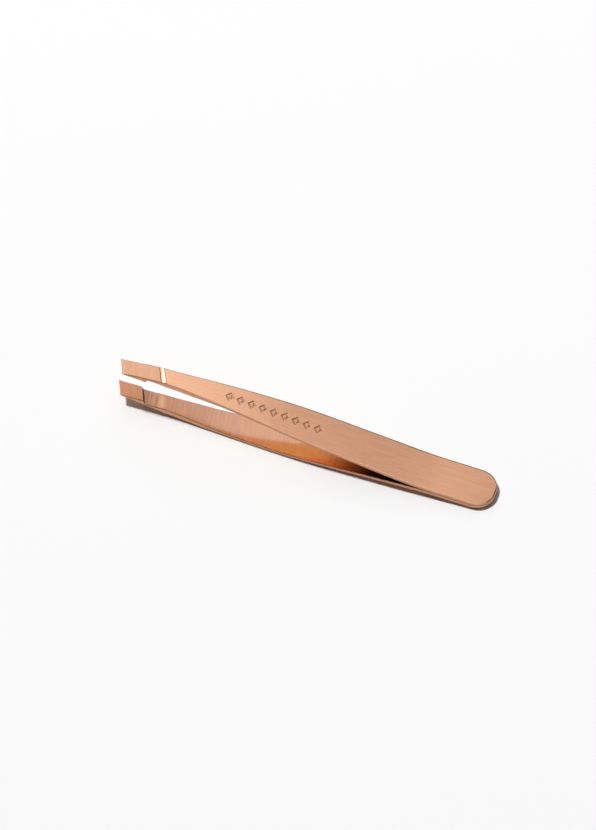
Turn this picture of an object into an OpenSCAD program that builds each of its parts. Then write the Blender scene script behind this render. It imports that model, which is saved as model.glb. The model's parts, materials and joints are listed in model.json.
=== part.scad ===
// Slant tweezers: two sprung arms, spot-welded face to face at a rounded heel,
// bowed apart in front of it, and ground to a slanted gripping tip.
//
// The arms are drawn in the tool's own axes: X runs from the long corner of the
// tips (0) to the heel, Y across the arms, and Z up from the plane that the two
// arms mirror in. lying() then tips the tool onto a table, where it rests on the
// lower arm's belly and on the end of the heel.

/* [Overall] */
// Length from the long corner of the tips to the end of the heel
length = 95.25; // [92:0.25:98]
// Gap between the two gripping edges when nothing presses the arms
tip_gap = 8.3; // [7.6:0.1:8.8]

/* [Plan outline] */
// Width of the arms at the tips
tip_w = 4.2; // [3.8:0.1:5]
// Width where the narrow neck ends and the quick taper starts
neck_w = 4.65; // [4.2:0.05:5.5]
// Width where the quick taper ends
knee_w = 9.8; // [9:0.05:10.2]
// Width of the arms over the heel
heel_w = 10.6; // [10.3:0.1:12]
// Distance from the tips where the quick taper starts
neck_x = 14.7; // [12:0.1:18]
// Distance from the tips where the quick taper ends
knee_x = 46.6; // [42:0.1:52]
// Distance from the tips where the arms reach their full width
full_x = 72; // [68:0.5:76]
// Radius of the heel's two corners
heel_r = 4.8; // [3.5:0.1:5]

/* [Side profile] */
// Thickness of an arm along the grip and the heel
arm_t = 1; // [0.9:0.05:1.2]
// Thickness of an arm at the crest of its belly
belly_t = 1.65; // [1.4:0.05:1.9]
// Angle of an arm's straight stretch from the mirror plane
splay_deg = 5.9; // [5.7:0.02:6.3]
// Distance from the tips to the crest of the belly
crest_x = 16.5; // [15:0.1:18]
// Distance from the tips where the belly has thinned to the arm's thickness
thin_x = 30.5; // [27:0.5:33]
// Distance from the tips where the arms first lie face to face
weld_x = 82.5; // [81:0.5:84]

/* [Ground tips] */
// Slant of the gripping edge from square
slant_deg = 23.5; // [15:0.5:28]
// Thickness left at the gripping edge
edge_t = 0.15; // [0.1:0.01:0.25]
// Slope of the ground outer facet
facet_deg = 9.1; // [8.4:0.1:9.6]
// Distance along the middle of the arm from the tips to the facet's shoulder
shoulder_x = 10.5; // [9.8:0.1:11.5]
// Radius of the scoop that ends the facet
scoop_r = 5; // [4:0.5:6]
// Distance along the middle of the arm from the tips to the back of the pad
pad_x = 6.7; // [6:0.1:7.5]
// Radius of the hollow ground behind the pad
hollow_r = 20; // [18:1:24]
// Height of the hollow's roof from the mirror plane
hollow_z = 4.65; // [4.5:0.05:4.75]
// Distance of the hollow's roof from the tips
hollow_x = 8; // [7.5:0.1:9]

/* [Spring and welds] */
// Distance from the tips to the line that an arm bends about
flex_x = 65; // [60:0.5:70]
// Clearance between the socket at the flex line and the arm's square end
flex_gap = 0.03; // [0.02:0.01:0.08]
// Diameter of a spot-weld nugget
nugget_d = 3; // [2:0.1:4]
// Height of a spot-weld nugget, shared by both arms
nugget_h = 0.8; // [0.4:0.1:1.2]
// Distance from the tips to the first nugget
nugget_x = 85.7; // [85:0.1:86.5]
// Distance between the two nuggets
nugget_pitch = 4.8; // [4.2:0.1:5]

/* [Engraved lozenges] */
// Number of lozenges along the upper arm
lozenge_n = 9; // [5:1:9]
// Distance from the tips to the first lozenge
lozenge_x = 28.2; // [27:0.1:30]
// Distance between lozenges
lozenge_pitch = 2.8; // [2.6:0.1:3]
// Length of a lozenge
lozenge_l = 2.4; // [1.8:0.1:2.4]
// Width of a lozenge
lozenge_w = 2.6; // [1.8:0.1:2.8]
// Width of the groove that outlines a lozenge
groove_w = 0.4; // [0.3:0.05:0.45]
// Depth of the groove below the arm's face
groove_d = 0.15; // [0.1:0.05:0.25]

/* [Hidden] */

big = 30;                  // larger than the tool in every direction it is used
rose = "#d99c80";          // rose-gold coating
bare = "#b9b4ae";          // bare steel of the welds
$fn = 64;

// Half-lengths of the soft corners in the outlines
neck_soft = 3;
knee_soft = 6;
full_soft = 3;
bend_soft = 5.2;
arch_soft = 16.7;

// How far behind the crest the middle of the arch lies
arch_lag = 9.3;

// Slopes of the plan outline's three tapers, one side
neck_taper = (neck_w - tip_w) / 2 / neck_x;
quick_taper = (knee_w - neck_w) / 2 / (knee_x - neck_x);
slow_taper = (heel_w - knee_w) / 2 / (full_x - knee_x);

// The side profile bends off the weld, runs straight, then arches over the belly
splay = tan(splay_deg);
bend_x = weld_x - bend_soft;
arch_x = crest_x + arch_lag;
arch = splay * 2 * arch_soft / (arch_lag + arch_soft);

// Where the edge is at the middle of the arm, because the tips are cut aslant
edge_x = tip_w / 2 * tan(slant_deg);
shoulder_z = tip_gap / 2 + edge_t + (shoulder_x - edge_x) * cos(slant_deg) * tan(facet_deg);

// The flex line runs through the middle of the arm's thickness. The knuckle on it is sunk
// a little below the arm's faces, so that it never grazes them.
knuckle_sunk = 0.01;
flex_half_t = arm_t / 2 * cos(splay_deg);
knuckle_r = flex_half_t - knuckle_sunk;
flex_z = outer_z(flex_x) - arm_t / 2;

// Angle that an arm turns through before its pad lies on the mirror plane
close_deg = asin(flex_z / norm([flex_x, flex_z - tip_gap / 2]))
          - atan2(flex_z - tip_gap / 2, flex_x);

// The tool lies on its belly and on the end of its heel
tilt_deg = atan(max([for (x = [crest_x : 0.25 : bend_x]) (outer_z(x) - arm_t) / (length - x)]));
lift = length * sin(tilt_deg) + arm_t * cos(tilt_deg);
x_low = -(tip_gap / 2 + edge_t) * sin(tilt_deg);
x_high = length * cos(tilt_deg) + arm_t * sin(tilt_deg);

// A corner between a level line and one of slope 1, rounded over r each way
function soft(d, r) = d <= -r ? 0 : d >= r ? d : pow(d + r, 2) / (4 * r);

// A smooth step from 0 to 1
function ease(u) = u <= 0 ? 0 : u >= 1 ? 1 : u * u * (3 - 2 * u);

// n + 1 stations over the rounded stretch of a soft corner
function stations(c, r, n) = [for (i = [0 : n]) c - r + 2 * r * i / n];

function reverse(list) = [for (i = [len(list) - 1 : -1 : 0]) list[i]];

// Half-width of the arms
function half_w(x) = tip_w / 2 + neck_taper * x
    + (quick_taper - neck_taper) * soft(x - neck_x, neck_soft)
    - (quick_taper - slow_taper) * soft(x - knee_x, knee_soft)
    - slow_taper * soft(x - full_x, full_soft);

// Height of an arm's outer and inner faces above the mirror plane
function outer_z(x) = arm_t + splay * soft(bend_x - x, bend_soft) - arch * soft(arch_x - x, arch_soft);
function thick(x) = arm_t + (belly_t - arm_t) * ease((thin_x - x) / (thin_x - crest_x));
function inner_z(x) = outer_z(x) - thick(x);

// Height of the gripping pad's face, which turns onto the mirror plane
function pad_z(x) = tip_gap / 2 - x * tan(close_deg);

function outer_line(xs) = [for (x = xs) [x, outer_z(x)]];
function inner_line(xs) = [for (x = xs) [x, inner_z(x)]];

// Stations where the two profiles curve
arch_xs = stations(arch_x, arch_soft, 20);
bend_xs = stations(bend_x, bend_soft, 8);

// The square end that both stretches of an arm share at the flex line
flex_top = [flex_x + flex_half_t * sin(splay_deg), flex_z + flex_half_t * cos(splay_deg)];
flex_low = [flex_x - flex_half_t * sin(splay_deg), flex_z - flex_half_t * cos(splay_deg)];

// Lays the tool on a table, with the middle of its footprint at the origin
module lying() {
    translate([-(x_low + x_high) / 2, 0, lift])
        rotate([0, tilt_deg, 0])
            children();
}

// The lower arm is the upper arm's mirror image
module below() {
    mirror([0, 0, 1]) children();
}

// Stands a profile drawn in X and Z up across the arm
module across() {
    rotate([90, 0, 0])
        linear_extrude(height = big, center = true)
            children();
}

// A frame whose Y axis runs along the slant, at distance x down the middle
module slanted(x) {
    translate([x, 0, 0])
        rotate([0, 0, slant_deg])
            children();
}

// One side of the heel's rounded end, from its flank to the middle
function heel_corner() = [for (a = [90 : -7.5 : 0])
    [length - heel_r + heel_r * cos(a), heel_w / 2 - heel_r + heel_r * sin(a)]];

// Outline of an arm from above, with the slanted tip and the rounded heel
module outline() {
    xs = concat(stations(neck_x, neck_soft, 6), stations(knee_x, knee_soft, 8),
                stations(full_x, full_soft, 4));
    flank = concat([for (x = xs) [x, half_w(x)]], heel_corner());
    polygon(concat([[0, tip_w / 2]], flank,
                   reverse([for (p = flank) [p[0], -p[1]]]),
                   [[2 * edge_x, -tip_w / 2]]));
}

// Cuts a side profile to the arm's outline
module trimmed() {
    intersection() {
        linear_extrude(height = big, center = true) outline();
        children();
    }
}

// Profile of the blade before its tip is ground
module blade_profile() {
    pad_end = pad_x + 3;
    polygon(concat([[0, outer_z(0)]], outer_line(arch_xs), [flex_top, flex_low],
                   inner_line(reverse([for (x = arch_xs) if (x > pad_end) x])),
                   [[pad_end, inner_z(pad_end)], [pad_end, pad_z(pad_end)], [0, pad_z(0)]]));
}

// Profile of the arm behind the flex line
module heel_profile() {
    polygon(concat([flex_top], outer_line(bend_xs), [[length, arm_t], [length, 0]],
                   inner_line(reverse(bend_xs)), [flex_low]));
}

// Round stock along the flex line
module knuckle(r) {
    translate([flex_x, 0, flex_z])
        rotate([90, 0, 0])
            cylinder(h = big, r = r, center = true);
}

// Ground away above the outer facet, with the scoop at its shoulder
module facet_cut() {
    slanted(shoulder_x)
        translate([0, 0, shoulder_z])
            rotate([0, -facet_deg, 0]) {
                translate([-big, -big / 2, 0])
                    cube([big, big, big]);
                translate([0, 0, scoop_r])
                    rotate([90, 0, 0])
                        cylinder(h = big, r = scoop_r, center = true);
            }
}

// Ground away behind the gripping pad, which leaves the pad standing proud
module hollow_cut() {
    intersection() {
        slanted(pad_x)
            translate([0, -big, -big])
                cube([2 * big, 2 * big, 2 * big]);
        slanted(hollow_x)
            translate([0, 0, hollow_z - hollow_r])
                rotate([90, 0, 0])
                    cylinder(h = 2 * big, r = hollow_r, center = true);
    }
}

// The outline of a lozenge, drawn groove_w wide
module lozenge_ring() {
    corners = [[lozenge_l / 2, 0], [0, lozenge_w / 2], [-lozenge_l / 2, 0], [0, -lozenge_w / 2]];
    apothem = lozenge_l * lozenge_w / 2 / norm([lozenge_l, lozenge_w]);
    difference() {
        polygon(corners);
        polygon(corners * (1 - groove_w / apothem));
    }
}

// Metal cut out of the outer face by a row of plain lozenges
module engraving() {
    last_x = lozenge_x + lozenge_n * lozenge_pitch;
    xs = concat([for (x = arch_xs) if (x > crest_x) x], [last_x]);
    intersection() {
        across()
            polygon(concat([for (x = xs) [x, outer_z(x) + arm_t]],
                           [for (x = reverse(xs)) [x, outer_z(x) - groove_d]]));
        for (i = [0 : lozenge_n - 1])
            translate([lozenge_x + i * lozenge_pitch, 0, 0])
                linear_extrude(height = big)
                    lozenge_ring();
    }
}

// Springing stretch of an arm, from its ground tip to the flex line
module blade() {
    trimmed() {
        difference() {
            union() {
                across() blade_profile();
                knuckle(knuckle_r);
            }
            facet_cut();
            hollow_cut();
        }
    }
}

// Welded stretch of an arm, behind the flex line
module heel() {
    difference() {
        trimmed() across() heel_profile();
        knuckle(flex_half_t + flex_gap);
        nuggets();
    }
}

// Fused metal of the two spot welds, half in each arm
module nuggets() {
    for (i = [0, 1])
        translate([nugget_x + i * nugget_pitch, 0, 0])
            cylinder(h = nugget_h, d = nugget_d, center = true);
}

module upper_arm_heel() {
    color(rose) lying() heel();
}

module lower_arm_heel() {
    color(rose) lying() below() heel();
}

module weld_nuggets() {
    color(bare) lying() nuggets();
}

module upper_arm_blade() {
    color(rose) lying()
        difference() {
            blade();
            engraving();
        }
}

module lower_arm_blade() {
    color(rose) lying() below() blade();
}

upper_arm_heel();
lower_arm_heel();
weld_nuggets();
upper_arm_blade();
lower_arm_blade();
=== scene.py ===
import json
import math

import bpy
import numpy as np
from mathutils import Matrix, Vector


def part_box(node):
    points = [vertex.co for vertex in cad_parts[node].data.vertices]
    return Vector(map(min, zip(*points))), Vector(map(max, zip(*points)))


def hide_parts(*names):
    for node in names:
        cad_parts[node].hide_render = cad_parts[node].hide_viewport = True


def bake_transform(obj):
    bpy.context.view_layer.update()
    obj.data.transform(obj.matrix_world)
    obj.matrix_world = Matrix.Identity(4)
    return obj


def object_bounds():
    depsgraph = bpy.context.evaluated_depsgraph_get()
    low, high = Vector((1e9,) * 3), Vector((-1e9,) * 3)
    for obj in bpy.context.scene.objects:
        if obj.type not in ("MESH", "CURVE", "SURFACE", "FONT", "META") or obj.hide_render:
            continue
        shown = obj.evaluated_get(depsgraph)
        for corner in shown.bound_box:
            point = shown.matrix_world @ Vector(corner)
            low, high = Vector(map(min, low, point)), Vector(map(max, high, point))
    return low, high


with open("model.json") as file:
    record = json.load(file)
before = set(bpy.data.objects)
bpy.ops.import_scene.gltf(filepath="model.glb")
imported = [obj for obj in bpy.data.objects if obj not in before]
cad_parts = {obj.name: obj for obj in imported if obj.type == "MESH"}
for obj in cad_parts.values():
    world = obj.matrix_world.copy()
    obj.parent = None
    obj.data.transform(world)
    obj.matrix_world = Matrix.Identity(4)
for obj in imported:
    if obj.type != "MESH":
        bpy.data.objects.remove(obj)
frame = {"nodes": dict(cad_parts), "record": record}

# Slant tweezers. Each arm is one continuous mesh, drawn like the CAD in the tool's own axes,
# in millimetres: x from the long corner of the tips to the heel, y across, z up from the
# plane that the two arms mirror in. lay_matrix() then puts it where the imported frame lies.

CAD_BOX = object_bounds()
MM = 0.001

# ---------------------------------------------------------------- driving dimensions
LENGTH = 95.25
TIP_GAP = 8.3          # between the gripping edges at rest
TIP_W, NECK_W, KNEE_W, HEEL_W = 4.2, 4.65, 9.8, 10.6
NECK_X, KNEE_X, FULL_X = 14.7, 46.6, 72.0
HEEL_R = 4.8
ARM_T, BELLY_T = 1.0, 1.65
SPLAY = math.tan(math.radians(5.9))
CREST_X, THIN_X, WELD_X = 16.5, 30.5, 82.5
SLANT = math.radians(23.5)
EDGE_T = 0.15
FACET = math.tan(math.radians(9.1))
SHOULDER_X, PAD_X = 10.5, 6.7
HOLLOW_R, HOLLOW_Z, HOLLOW_X = 20.0, 4.65, 8.0
FLEX_X = 65.0
ARCH_LAG = 9.3         # how far behind the crest the middle of the arch lies
NECK_SOFT, KNEE_SOFT, FULL_SOFT, BEND_SOFT, ARCH_SOFT = 3.0, 6.0, 3.0, 5.2, 16.7

# Finish details that only the looks carry
EDGE_R = 0.2           # rounding of the long edges
WALL_LEAN = 0.10       # how far the side wall's two edges stand back from its ridge
CROWN = 0.07           # how much lower the outer face is at its edges
INNER_CROWN = 0.10     # the same on the inner face
FLAT_X, FLAT_RUN = 72.5, 20.0     # where the inner face has flattened out towards the weld
HEEL_DROP, HEEL_RUN = 0.12, 6.0   # the heel's end is slightly domed
SCOOP_R = 5.0          # the polished scoop that ends the facet
SCOOP_DIP = math.radians(7)       # how steeply the scoop first dives below the facet
SCOOP_DROP, SCOOP_DROP_RUN = 0.06, 0.15     # sharp drop into the scoop
STEP_RUN = 0.45        # length of the step behind the gripping pad

# The row of engraved lozenges along the upper arm
LOZENGE_N, LOZENGE_X, LOZENGE_PITCH = 9, 28.2, 2.8
LOZENGE_L, LOZENGE_W = 2.4, 2.6
GROOVE_W, GROOVE_D = 0.6, 0.13

# ---------------------------------------------------------------- derived values
NECK_TAPER = (NECK_W - TIP_W) / 2 / NECK_X
QUICK_TAPER = (KNEE_W - NECK_W) / 2 / (KNEE_X - NECK_X)
SLOW_TAPER = (HEEL_W - KNEE_W) / 2 / (FULL_X - KNEE_X)
BEND_X = WELD_X - BEND_SOFT
ARCH_X = CREST_X + ARCH_LAG
ARCH = SPLAY * 2 * ARCH_SOFT / (ARCH_LAG + ARCH_SOFT)
EDGE_X = TIP_W / 2 * math.tan(SLANT)
SHOULDER_Z = TIP_GAP / 2 + EDGE_T + (SHOULDER_X - EDGE_X) * math.cos(SLANT) * FACET


def soft(d, r):
    """A corner between a level line and one of slope 1, rounded over r each way."""
    return np.where(d <= -r, 0.0, np.where(d >= r, d, (d + r) ** 2 / (4 * r)))


def ease(u):
    u = np.clip(u, 0.0, 1.0)
    return u * u * (3 - 2 * u)


def half_w(x):
    return (TIP_W / 2 + NECK_TAPER * x
            + (QUICK_TAPER - NECK_TAPER) * soft(x - NECK_X, NECK_SOFT)
            - (QUICK_TAPER - SLOW_TAPER) * soft(x - KNEE_X, KNEE_SOFT)
            - SLOW_TAPER * soft(x - FULL_X, FULL_SOFT))


def profile_z(x):
    """Height of an arm's outer face along its middle."""
    return ARM_T + SPLAY * soft(BEND_X - x, BEND_SOFT) - ARCH * soft(ARCH_X - x, ARCH_SOFT)


def thick(x):
    return ARM_T + (BELLY_T - ARM_T) * ease((THIN_X - x) / (THIN_X - CREST_X))


FLEX_Z = float(profile_z(FLEX_X)) - ARM_T / 2
CLOSE = (math.asin(FLEX_Z / math.hypot(FLEX_X, FLEX_Z - TIP_GAP / 2))
         - math.atan2(FLEX_Z - TIP_GAP / 2, FLEX_X))


def past(x, y, line_x):
    """Distance past a slanted line that crosses the middle of the arm at line_x."""
    return (x - line_x) * math.cos(SLANT) + y * math.sin(SLANT)


def ground_z(x, y):
    """Height of the ground facet and of the scoop that ends it."""
    d = past(x, y, SHOULDER_X)
    across = np.clip(d, 0, SCOOP_R * 0.8) - SCOOP_R * math.sin(SCOOP_DIP)
    rise = SCOOP_R * math.cos(SCOOP_DIP) - np.sqrt(SCOOP_R ** 2 - across ** 2)
    return SHOULDER_Z + d * FACET + rise - SCOOP_DROP * np.clip(d / SCOOP_DROP_RUN, 0, 1)


def crowned_z(x, y):
    heel = HEEL_DROP * np.clip((x - LENGTH + HEEL_RUN) / HEEL_RUN, 0, 1) ** 2
    return profile_z(x) - CROWN * (y / half_w(x)) ** 2 - heel


def engraved(x, y):
    """Depth of the engraved row: the outline of a lozenge, repeated."""
    i = np.clip(np.round((x - LOZENGE_X) / LOZENGE_PITCH), 0, LOZENGE_N - 1)
    dx = np.abs(x - LOZENGE_X - i * LOZENGE_PITCH)
    outward = 2 * dx / LOZENGE_L + 2 * np.abs(y) / LOZENGE_W - 1
    apothem = LOZENGE_L * LOZENGE_W / 2 / math.hypot(LOZENGE_L, LOZENGE_W)
    d = np.abs(outward * apothem + GROOVE_W / 2)
    return GROOVE_D * (1 - ease((d - GROOVE_W * 0.2) / (GROOVE_W * 0.4)))


def outer_z(x, y):
    return np.minimum(crowned_z(x, y), ground_z(x, y))


def inner_z(x, y):
    pad = TIP_GAP / 2 - x * math.tan(CLOSE)
    crown = INNER_CROWN * (y / half_w(x)) ** 2 * ease((FLAT_X - x) / FLAT_RUN)
    plain = profile_z(x) - thick(x) + crown
    d = np.clip(past(x, y, HOLLOW_X), -HOLLOW_R, HOLLOW_R)
    hollow = HOLLOW_Z - HOLLOW_R + np.sqrt(HOLLOW_R ** 2 - d ** 2)
    behind = np.maximum(plain, hollow)
    step = np.clip(past(x, y, PAD_X) / STEP_RUN, 0, 1)
    return pad + (behind - pad) * step


# ---------------------------------------------------------------- rows and columns
def scoop_length(y):
    """Distance along x from the shoulder line to where the scoop runs out."""
    low, high = np.full_like(y, 0.5), np.full_like(y, 3.0)
    start = SHOULDER_X - math.tan(SLANT) * y
    for _ in range(30):
        mid = (low + high) / 2
        under = ground_z(start + mid, y) < crowned_z(start + mid, y)
        low, high = np.where(under, mid, low), np.where(under, high, mid)
    return (low + high) / 2


SCOOP_LENGTH = float(scoop_length(np.zeros(1))[0])


def spread(a, b, n):
    """n steps from a to b, without b."""
    return [a + (b - a) * i / n for i in range(n)]


def row(x, slant=1.0, bend=0.0, angle=math.nan, top="satin", low="inside"):
    """A row across the arm: where it crosses the middle, how far it slants, how far it
    follows the curved end of the scoop, and its angle round the heel. top and low name
    the finishes between it and the next row."""
    return {"x": x, "slant": slant, "bend": bend, "angle": angle, "top": top, "low": low}


SQUARE_X = 21.0        # where the rows have turned square to the arm
RIM_COL = 0.98         # the column that bounds the far rim, painted dark as shade
RIM_ANGLE = 1.3        # where round the heel its end starts to be painted dark as shade
SIDE_COLS, MIDDLE_COLS = 7, 42
MIDDLE_HALF = 1.35     # half-width of the finely divided middle strip
# The scoop's first two rows and last three are painted dark: painted shade lines at its two edges.
SCOOP_FINISHES = ["step"] * 2 + ["scoop"] * 10 + ["painted_dark_rim"] * 3


def ground_rows():
    """Rows over the tip, which lie along its slant and then turn square to the arm."""
    step_end = PAD_X + STEP_RUN / math.cos(SLANT)
    scoop_end = SHOULDER_X + SCOOP_LENGTH
    rows = [row(x, top="facet", low="pad") for x in spread(EDGE_X, PAD_X, 9)]
    rows += [row(x, top="facet", low="step") for x in spread(PAD_X, step_end, 2)]
    rows += [row(x, top="facet") for x in spread(step_end, SHOULDER_X, 7)]
    for u, kind in zip(spread(0, 1, len(SCOOP_FINISHES)), SCOOP_FINISHES):
        rows.append(row(SHOULDER_X + SCOOP_LENGTH * u, bend=u, top=kind))
    for u in spread(0, 1, 14):
        rows.append(row(scoop_end + (SQUARE_X - scoop_end) * u, 1 - float(ease(u)), (1 - u) ** 2))
    return rows


def square_rows(engrave):
    """Rows square to the arm, close together where it is engraved, and round the heel."""
    margin = LOZENGE_L / 2 + 0.2
    first = LOZENGE_X - margin
    last = LOZENGE_X + (LOZENGE_N - 1) * LOZENGE_PITCH + margin
    stations = (spread(SQUARE_X, first, 6) + spread(first, last, 380 if engrave else 20)
                + spread(last, WELD_X, 26) + spread(WELD_X, LENGTH - HEEL_R, 6))
    rows = [row(x, 0.0) for x in stations]
    for a in spread(0, math.pi / 2, 18) + [math.pi / 2]:
        rows.append(row(0, 0.0, angle=a, top="painted_dark_rim" if a > RIM_ANGLE else "satin"))
    return rows


def make_columns():
    """Columns from the far edge to the near one. Beyond 0.5 they follow the outline."""
    side = [1, RIM_COL] + [1 - 0.5 * (i / SIDE_COLS) ** 0.8 for i in range(1, SIDE_COLS)]
    return np.array(side + spread(0.5, -0.5, MIDDLE_COLS) + [-0.5] + [-c for c in reversed(side)])


def plan(line, columns, inset):
    """Plan positions of rows and columns, with the outline drawn in by inset."""
    heel = ~np.isnan(line["angle"])
    a = np.where(heel, line["angle"], 0.0)
    heel_x = LENGTH - HEEL_R + (HEEL_R - inset) * np.sin(a)
    heel_half = HEEL_W / 2 - HEEL_R + (HEEL_R - inset) * np.cos(a)
    x_mid = line["x"] + np.where(line["x"] == EDGE_X, inset / math.cos(SLANT), 0.0)
    x = np.where(heel, heel_x, x_mid) + 0.0 * columns
    for _ in range(4):
        half = np.where(heel, heel_half, half_w(np.where(heel, FULL_X, x)) - inset)
        middle = np.minimum(MIDDLE_HALF, 0.64 * half)
        c = np.abs(columns)
        y = np.where(c <= 0.5, c / 0.5 * middle, middle + (c - 0.5) / 0.5 * (half - middle))
        y = y * np.sign(columns)
        aslant = x_mid - line["slant"] * math.tan(SLANT) * y
        aslant = aslant + line["bend"] * (scoop_length(y) - SCOOP_LENGTH)
        x = np.where(heel, heel_x, aslant)
    return x, y


# ---------------------------------------------------------------- arms
def lay_matrix():
    """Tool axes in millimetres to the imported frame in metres."""
    face = next(m for m in frame["record"]["mounts"] if m["name"] == "upper_heel_face")
    tilt = math.asin(face["axis"][0])
    end = LENGTH * MM * math.cos(tilt) + ARM_T * MM * math.sin(tilt)
    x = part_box("upper_arm_heel")[1].x - end
    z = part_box("lower_arm_heel")[0].z + LENGTH * MM * math.sin(tilt) + ARM_T * MM * math.cos(tilt)
    return Matrix.Translation((x, 0, z)) @ Matrix.Rotation(tilt, 4, "Y") @ Matrix.Scale(MM, 4)


LAY = lay_matrix()
TURN = [math.pi / 2 * k / 4 for k in (1, 2, 3, 4)]


def outline_ring(n_rows, n_cols):
    """Row and column of each point round the edge of a sheet."""
    ring = [(i, 0) for i in range(n_rows)]
    ring += [(n_rows - 1, j) for j in range(1, n_cols)]
    ring += [(i, n_cols - 1) for i in range(n_rows - 2, -1, -1)]
    ring += [(0, j) for j in range(n_cols - 2, 0, -1)]
    return np.array(ring).T


def arm_layers(rows, columns, engrave):
    """Points of an arm's outer sheet, the loops round its edge, and its inner sheet."""
    keys = ("x", "slant", "bend", "angle")
    line = {key: np.array([r[key] for r in rows])[:, None] for key in keys}
    x, y = plan(line, columns[None, :], 0.0)
    height = outer_z(x, y) - inner_z(x, y)
    radius = np.minimum(EDGE_R, 0.4 * height).min(axis=1, keepdims=True) + 0 * x
    lean = WALL_LEAN * np.clip(height, 0, 1).min(axis=1, keepdims=True) + 0 * x

    x, y = plan(line, columns[None, :], radius + lean)
    carved = engraved(x, y) if engrave else 0.0
    outer, inner = (x, y, outer_z(x, y) - carved), (x, y, inner_z(x, y))

    i, j = outline_ring(len(rows), len(columns))
    r, w = radius[i, j], lean[i, j]
    edge = {key: value[i, 0] for key, value in line.items()}

    def loop(inset, height):
        x, y = plan(edge, columns[j], inset)
        return x, y, height(x, y)

    def rounding(a, face_z, sign):
        return loop(w + r * (1 - math.sin(a)),
                    lambda x, y: face_z(x, y) - sign * r * (1 - math.cos(a)))

    loops = [rounding(a, outer_z, 1) for a in TURN]
    loops.append(loop(0 * r, lambda x, y: (outer_z(x, y) + inner_z(x, y)) / 2))
    loops += [rounding(a, inner_z, -1) for a in reversed(TURN)]
    return outer, loops, inner


def edge_finish(ring, line, j, next_j):
    """Finish of the edge below a ring: the rounding along the near edge of the outer face keeps the
    face's own finish, while the rest of the rounding, on the far edge and round the heel, is painted
    dark as shade."""
    if ring > 2:
        return "wall"
    if j == next_j != 0 and not line["angle"] > math.pi / 4:
        return line["top"]
    return "painted_dark_rim"


def arm_mesh(name, side, engrave):
    """One arm as a closed mesh. side is 1 for the upper arm and -1 for its mirror image."""
    rows, columns = ground_rows() + square_rows(engrave), make_columns()
    n_rows, n_cols = len(rows), len(columns)
    outer, loops, inner = arm_layers(rows, columns, engrave)
    layers = [outer] + loops + [inner]
    points = np.concatenate([np.stack([c.ravel() for c in layer], 1) for layer in layers])
    points[:, 2] *= side

    i, j = outline_ring(n_rows, n_cols)
    sheet, count = n_rows * n_cols, len(i)
    inner_start = sheet + len(loops) * count
    faces, finish = [], []

    def add(quad, kind):
        faces.append([int(v) for v in (quad if side > 0 else quad[::-1])])
        finish.append(kind)

    for m in range(n_rows - 1):
        for n in range(n_cols - 1):
            a = m * n_cols + n
            quad = np.array([a, a + n_cols, a + n_cols + 1, a + 1])
            top, low = rows[m]["top"], rows[m]["low"]
            # A thin strip along the far edge of the outer face is painted dark: painted shade.
            add(quad[::-1], "painted_dark_rim" if n == 0 and top == "satin" else top)
            add(inner_start + quad, "under" if side > 0 and low == "inside" else low)

    rings = [i * n_cols + j]
    rings += [sheet + k * count + np.arange(count) for k in range(len(loops))]
    rings += [inner_start + i * n_cols + j]
    for k, (upper, lower) in enumerate(zip(rings, rings[1:])):
        for m in range(count):
            n = (m + 1) % count
            kind = edge_finish(k, rows[min(i[m], i[n])], j[m], j[n])
            add([upper[m], upper[n], lower[n], lower[m]], kind)

    mesh = bpy.data.meshes.new(name)
    mesh.from_pydata([LAY @ Vector(p) for p in points], [], faces)
    kinds = list(MATERIALS)
    mesh.polygons.foreach_set("material_index", [kinds.index(k) for k in finish])
    mesh.polygons.foreach_set("use_smooth", [True] * len(faces))
    mesh.set_sharp_from_angle(angle=math.radians(28))
    rest = mesh.attributes.new("rest_mm", "FLOAT_VECTOR", "POINT")
    rest.data.foreach_set("vector", points.astype(np.float32).ravel())
    carved = np.zeros(len(points), np.float32)
    if engrave:
        carved[:sheet] = (engraved(outer[0], outer[1]) / GROOVE_D).ravel()
    mesh.attributes.new("carved", "FLOAT", "POINT").data.foreach_set("value", carved)
    for kind in kinds:
        mesh.materials.append(MATERIALS[kind])
    return mesh


def make_arm(name, side, engrave):
    arm = bpy.data.objects.new(name, arm_mesh(name, side, engrave))
    bpy.context.scene.collection.objects.link(arm)
    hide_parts(name + "_blade", name + "_heel")
    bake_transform(arm)
    return arm


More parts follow.
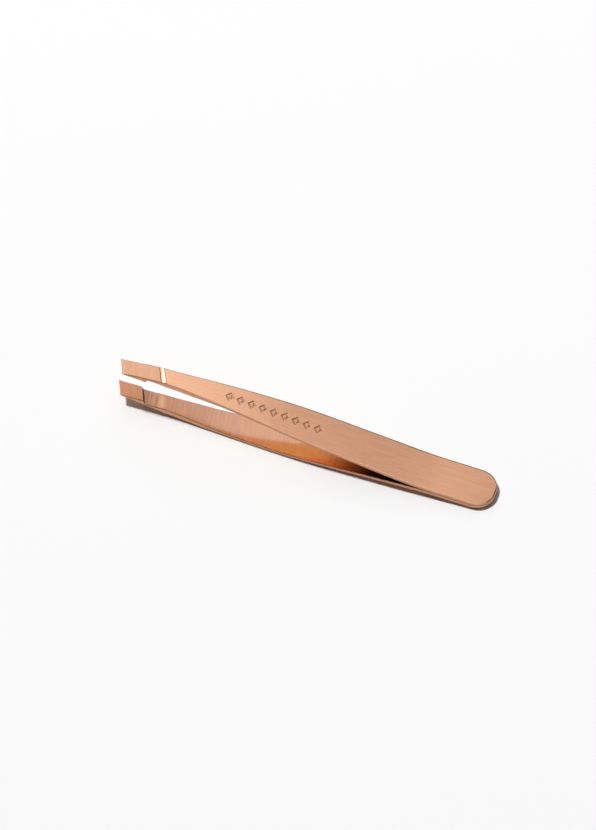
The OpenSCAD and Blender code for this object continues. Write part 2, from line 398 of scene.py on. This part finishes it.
# ---------------------------------------------------------------- materials
class Finish:
    """A Principled material and the few procedural textures that these finishes share."""

    def __init__(self, name):
        self.material = bpy.data.materials.new(name)
        self.material.use_nodes = True
        self.nodes, self.links = self.material.node_tree.nodes, self.material.node_tree.links
        self.shader = self.nodes["Principled BSDF"]

    def new(self, kind, **values):
        node = self.nodes.new("ShaderNode" + kind)
        for key, value in values.items():
            setattr(node, key, value)
        return node

    def rest(self):
        """Position on the unbent tool, in millimetres."""
        return self.new("Attribute", attribute_name="rest_mm").outputs["Vector"]

    def noise(self, pitch, detail=2.0, turn=0.0):
        """Noise with this pitch in cycles per millimetre along, across and up the tool, turned
        in plan so that its lines lie along a slanted grind."""
        mapping, noise = self.new("Mapping", vector_type="TEXTURE"), self.new("TexNoise")
        mapping.inputs["Rotation"].default_value = (0, 0, turn)
        mapping.inputs["Scale"].default_value = [1 / p for p in pitch]
        noise.inputs["Scale"].default_value = 1.0
        noise.inputs["Detail"].default_value = detail
        self.links.new(self.rest(), mapping.inputs["Vector"])
        self.links.new(mapping.outputs["Vector"], noise.inputs["Vector"])
        return noise.outputs["Fac"]

    def ramp(self, value, low, high, start=0.3, end=0.7):
        node = self.new("MapRange")
        for key, number in (("From Min", start), ("From Max", end), ("To Min", low), ("To Max", high)):
            node.inputs[key].default_value = number
        self.links.new(value, node.inputs["Value"])
        return node.outputs["Result"]

    def times(self, a, b):
        node = self.new("Math", operation="MULTIPLY")
        self.links.new(a, node.inputs[0])
        self.links.new(b, node.inputs[1])
        return node.outputs["Value"]

    def paint(self, value, dark, light):
        mix = self.new("Mix", data_type="RGBA")
        factor, a, b = (mix.inputs[k] for k in (0, 6, 7))
        a.default_value = (*dark, 1)
        b.default_value = (*light, 1)
        self.links.new(value, factor)
        self.links.new(mix.outputs[2], self.shader.inputs["Base Color"])

    def rough(self, value):
        self.links.new(value, self.shader.inputs["Roughness"])

    def bump(self, height, strength, depth):
        """Bump of depth in millimetres."""
        node = self.new("Bump")
        node.inputs["Strength"].default_value = strength
        node.inputs["Distance"].default_value = depth * MM
        self.links.new(height, node.inputs["Height"])
        self.links.new(node.outputs["Normal"], self.shader.inputs["Normal"])

    def brushed(self, amount, spread_along):
        """Metal whose highlight spreads along a direction, across the lie of the brushing."""
        self.shader.inputs["Metallic"].default_value = 1.0
        self.shader.inputs["Anisotropic"].default_value = amount
        tangent = self.new("CombineXYZ")
        for socket, value in zip(tangent.inputs, spread_along):
            socket.default_value = value
        self.links.new(tangent.outputs["Vector"], self.shader.inputs["Tangent"])


def tint(colour, factor):
    return tuple(c * factor for c in colour)


# The rose-gold coating, which reads warmer on the inner faces and on the freshly ground pads
ROSE = (0.86, 0.465, 0.285)
INNER_ROSE = (0.86, 0.44, 0.278)
PAD_ROSE = (0.86, 0.394, 0.223)
AMBER = (1.0, 0.70, 0.335)       # the underside of the upper arm, seen only in the lower one; lighter and yellower than the rest, as painted light for that reflection
ALONG_X, ALONG_Y = (1.0, 0.0, 0.0), (0.0, 1.0, 0.0)
BLACK = (0.0, 0.0, 0.0)


def satin_outside():
    """Lengthwise brushing: fine hairlines over broader streaks, and engraving painted darker in its
    grooves as shade.
    """
    f = Finish("satin_outside")
    streaks = f.noise((0.05, 2.2, 2.2), 5)
    hairs = f.noise((0.2, 9, 9), 3)
    carved = f.new("Attribute", attribute_name="carved").outputs["Fac"]
    tone = f.times(f.ramp(streaks, 0.88, 1.0), f.ramp(hairs, 0.92, 1.0))
    f.brushed(0.5, ALONG_Y)
    # The colour is painted darker where the engraving is deeper: painted shade in the grooves.
    f.paint(f.times(tone, f.ramp(carved, 1.0, 0.85, 0.5, 1.0)), BLACK, tint(ROSE, 1.1))
    f.rough(f.ramp(streaks, 0.28, 0.40))
    f.bump(hairs, 0.2, 0.02)
    return f.material


def satin_inside(name, colour, behind_pad, at_belly):
    """Crosswise grain, with the coarse marks of the grinding wheel just behind the pad. It is rough
    there and smooth from the crest of the bow on.
    Its colour is painted a little lighter from the crest on, as painted light for the glow reflected
    between the arms, and painted dark as shade where the arms close up."""
    f = Finish(name)
    grain = f.noise((2.0, 0.16, 0.5), 4, turn=SLANT / 2)
    place = f.new("SeparateXYZ")
    f.links.new(f.rest(), place.inputs["Vector"])
    along = place.outputs["X"]
    wheel = f.times(grain, f.ramp(along, 1.0, 0.2, 10.5, 13.5))
    # Painted light and shade: lighter from 24 to 38 mm for the glow reflected between the arms, then
    # painted dark as shade from 51 to 67 mm where the arms close up.
    painted_glow_and_shade = f.times(f.ramp(along, behind_pad, at_belly, 24, 38), f.ramp(along, 1.0, 0.3, 51, 67))
    marks = f.times(f.ramp(grain, 0.90, 1.03), f.ramp(wheel, 1.0, 0.5, 0.35, 0.65))
    f.brushed(0.35, ALONG_X)
    f.paint(f.times(painted_glow_and_shade, marks), BLACK, colour)
    f.rough(f.ramp(along, 0.40, 0.17, 15, 26))
    f.bump(wheel, 0.7, 0.05)
    return f.material


def blanked_edge():
    """Tumbled side wall: short lengthwise drag marks, on a colour painted dark as shade."""
    f = Finish("blanked_edge")
    marks = f.noise((0.5, 1.5, 7), 4)
    f.brushed(0.3, ALONG_Y)
    # About half as bright as the outer face: painted shade for the shadow that the wall reflects. The
    # drag marks vary it at random.
    f.paint(marks, tint(ROSE, 0.5), tint(ROSE, 0.72))
    f.rough(f.ramp(marks, 0.2, 0.34))
    f.bump(marks, 0.2, 0.02)
    return f.material


def ground(name, shade, rough, strength=0.3, colour=ROSE):
    """Metal ground crosswise on a wheel."""
    f = Finish(name)
    lines = f.noise((9, 0.3, 0.3), 3, turn=SLANT)
    broad = f.noise((2.4, 0.15, 0.15), 4, turn=SLANT)
    f.brushed(0.4, ALONG_X)
    tone = f.times(f.ramp(broad, 0.90, 1.03), f.ramp(lines, 0.93, 1.03))
    f.paint(tone, BLACK, tint(colour, shade))
    f.rough(f.ramp(lines, *rough))
    f.bump(lines, strength, 0.02)
    return f.material


def weld_metal():
    f = Finish("weld_metal")
    mottle = f.noise((3, 3, 3), 4)
    f.shader.inputs["Metallic"].default_value = 1.0
    f.paint(mottle, (0.42, 0.40, 0.38), (0.62, 0.60, 0.58))
    f.rough(f.ramp(mottle, 0.35, 0.6))
    f.bump(mottle, 0.3, 0.05)
    return f.material


def floor_white():
    f = Finish("floor_white")
    f.shader.inputs["Base Color"].default_value = (0.86, 0.86, 0.86, 1)
    f.shader.inputs["Roughness"].default_value = 0.9
    f.shader.inputs["Specular IOR Level"].default_value = 0.1
    return f.material


MATERIALS = {
    "satin": satin_outside(),
    "inside": satin_inside("satin_inside", INNER_ROSE, 0.68, 0.75),
    # The underside is a lighter copy of the inner finish: painted light for its reflection in the
    # lower arm.
    "under": satin_inside("satin_underside", AMBER, 0.92, 1.0),
    "wall": blanked_edge(),
    "facet": ground("ground_facet", 0.70, (0.36, 0.46)),
    "scoop": ground("polished_scoop", 1.1, (0.12, 0.18), strength=0.05),
    # Painted shade: the far edge, the heel's end and the scoop's last rows are painted dark.
    "painted_dark_rim": ground("rim_painted_dark", 0.32, (0.3, 0.4)),
    "pad": ground("gripping_pad", 0.62, (0.34, 0.44), colour=PAD_ROSE),
    # Painted shade: the step behind the pad and the entry of the scoop are painted nearly black for
    # the dark lines there.
    "step": ground("step_painted_dark", 0.16, (0.4, 0.5)),
}


# ---------------------------------------------------------------- stage, light and camera
def direction(azimuth, elevation):
    """Unit vector towards a place in the studio: azimuth from +X towards +Y, in degrees."""
    a, e = math.radians(azimuth), math.radians(elevation)
    return Vector((math.cos(a) * math.cos(e), math.sin(a) * math.cos(e), math.sin(e)))


def add_light(name, kind, azimuth, elevation, distance=1.0):
    data = bpy.data.lights.new(name, kind)
    light = bpy.data.objects.new(name, data)
    light.location = direction(azimuth, elevation) * distance
    light.rotation_mode = "QUATERNION"
    light.rotation_quaternion = direction(azimuth, elevation).to_track_quat("Z", "Y")
    bpy.context.scene.collection.objects.link(light)
    return light


def make_key():
    """Small bright lamp beyond the tips, which lights the table and throws the short shadow."""
    key = add_light("key", "SUN", azimuth=179, elevation=66)
    key.data.energy = 2.96
    key.data.color = (0.967, 0.99, 1.0)
    key.data.angle = math.radians(7)
    key.visible_glossy = False


def card(name, azimuth, elevation, half_angle, radiance, distance=0.8, lights_table=False):
    """Disc of light that shows in the metal, and by default leaves the table's shading alone."""
    light = add_light(name, "AREA", azimuth, elevation, distance)
    radius = distance * math.tan(math.radians(half_angle))
    light.data.shape = "DISK"
    light.data.size = 2 * radius
    light.data.energy = radiance * math.pi * math.pi * radius ** 2
    light.visible_diffuse = lights_table
    return light.data


def make_world():
    world = bpy.data.worlds.new("studio")
    world.use_nodes = True
    background = world.node_tree.nodes["Background"]
    background.inputs["Color"].default_value = (1.0, 0.8, 0.72, 1)
    background.inputs["Strength"].default_value = 0.10
    bpy.context.scene.world = world


def make_floor():
    size = 3.0
    mesh = bpy.data.meshes.new("floor")
    corners = [(-size, -size, 0), (size, -size, 0), (size, size, 0), (-size, size, 0)]
    mesh.from_pydata(corners, [], [(0, 1, 2, 3)])
    mesh.materials.append(floor_white())
    floor = bpy.data.objects.new("floor", mesh)
    floor.location.z = CAD_BOX[0].z - 0.02 * MM
    bpy.context.scene.collection.objects.link(floor)


def make_camera():
    """Long lens, 52 degrees up and a little round towards the heel."""
    azimuth, elevation, roll = math.radians(16.91), math.radians(52.04), math.radians(1.5)
    distance, right_of_centre, below_centre = 1.5841, 0.00172, 0.00435
    back = Vector((math.sin(azimuth) * math.cos(elevation),
                   -math.cos(azimuth) * math.cos(elevation), math.sin(elevation)))
    level = Vector((math.cos(azimuth), math.sin(azimuth), 0))
    upright = back.cross(level)
    right = level * math.cos(roll) + upright * math.sin(roll)
    up = upright * math.cos(roll) - level * math.sin(roll)
    data = bpy.data.cameras.new("camera")
    data.lens = 288.4
    data.clip_start, data.clip_end = 0.01, 20
    camera = bpy.data.objects.new("camera", data)
    middle = Vector((0, 0, 5 * MM))
    place = middle + back * distance - right * right_of_centre + up * below_centre
    camera.matrix_world = (Matrix.Translation(place)
                           @ Matrix((right, up, back)).transposed().to_4x4())
    bpy.context.scene.collection.objects.link(camera)
    bpy.context.scene.camera = camera


make_camera()
make_key()
card("back", azimuth=120, elevation=52, half_angle=42, radiance=0.54, lights_table=True)
near = card("near_left", azimuth=122, elevation=50, half_angle=22, radiance=0.57, distance=0.35)
near.color = (0.92, 1.04, 1.14)
card("glint", azimuth=136, elevation=49, half_angle=7, radiance=3.0)
card("low_left", azimuth=143, elevation=17, half_angle=14, radiance=2.2)
card("overhead", azimuth=300, elevation=84, half_angle=18, radiance=1.2)
card("front", azimuth=302, elevation=24, half_angle=36, radiance=0.8)
card("right", azimuth=35, elevation=12, half_angle=11, radiance=0.6)
make_world()
make_floor()
make_arm("upper_arm", 1, True)
make_arm("lower_arm", -1, False)
nuggets = frame["nodes"]["weld_nuggets"]
nuggets.data.materials.clear()
nuggets.data.materials.append(weld_metal())
bpy.context.scene.view_settings.view_transform = "Standard"
